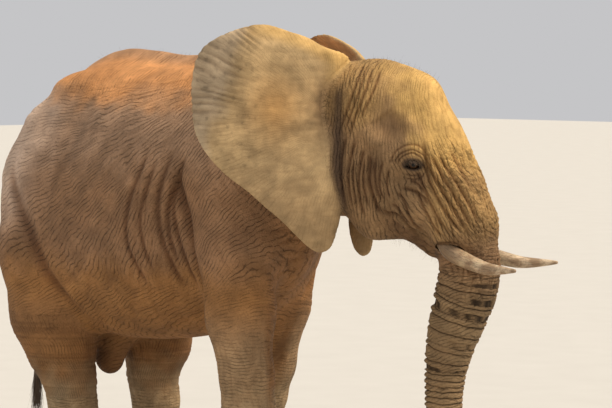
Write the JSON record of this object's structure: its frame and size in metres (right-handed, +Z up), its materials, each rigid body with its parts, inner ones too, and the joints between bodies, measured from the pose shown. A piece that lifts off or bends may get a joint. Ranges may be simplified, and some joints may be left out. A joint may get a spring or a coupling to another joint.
{
  "type": "african elephant figure",
  "caption": "Life-size standing bull elephant with spread ears, short upcurved tusks, hanging trunk and tufted tail, head turned to its left.",
  "frame": {"origin": "on the floor under the centre of the animal's bounding box", "axes": "+X towards the head, +Y to the animal's left, +Z up; the soles stand on Z = 0"},
  "size_m": [3.3926, 1.4912, 2.5486],
  "materials": {
    "skin": "dry wrinkled hide with a film of ochre dust",
    "ear_skin": "thin creased hide, olive to ochre, dusty",
    "ivory": "worn ivory, polished at the tip, stained brown near the lip",
    "eye": "wet dark brown",
    "nail": "scuffed horn",
    "hair": "coarse dark bristles"
  },
  "bodies": {
    "root": {"barrel": "skin", "chest": "skin", "ear_left": "ear_skin", "ear_right": "ear_skin", "eye_left": "eye", "eye_right": "eye", "foot_fore_left": "skin", "foot_fore_right": "skin", "foot_hind_left": "skin", "foot_hind_right": "skin", "head": "skin", "leg_fore_left_lower": "skin", "leg_fore_left_upper": "skin", "leg_fore_right_lower": "skin", "leg_fore_right_upper": "skin", "leg_hind_left_lower": "skin", "leg_hind_left_upper": "skin", "leg_hind_right_lower": "skin", "leg_hind_right_upper": "skin", "lower_jaw": "skin", "nail_fore_left_1": "nail", "nail_fore_left_2": "nail", "nail_fore_left_3": "nail", "nail_fore_left_4": "nail", "nail_fore_right_1": "nail", "nail_fore_right_2": "nail", "nail_fore_right_3": "nail", "nail_fore_right_4": "nail", "nail_hind_left_1": "nail", "nail_hind_left_2": "nail", "nail_hind_left_3": "nail", "nail_hind_right_1": "nail", "nail_hind_right_2": "nail", "nail_hind_right_3": "nail", "neck": "skin", "rump": "skin", "sheath": "skin", "tail": "skin", "tail_tuft": "hair", "trunk_lower": "skin", "trunk_middle": "skin", "trunk_tip": "skin", "trunk_upper": "skin", "tusk_left": "ivory", "tusk_right": "ivory"}
  },
  "joints": []
}
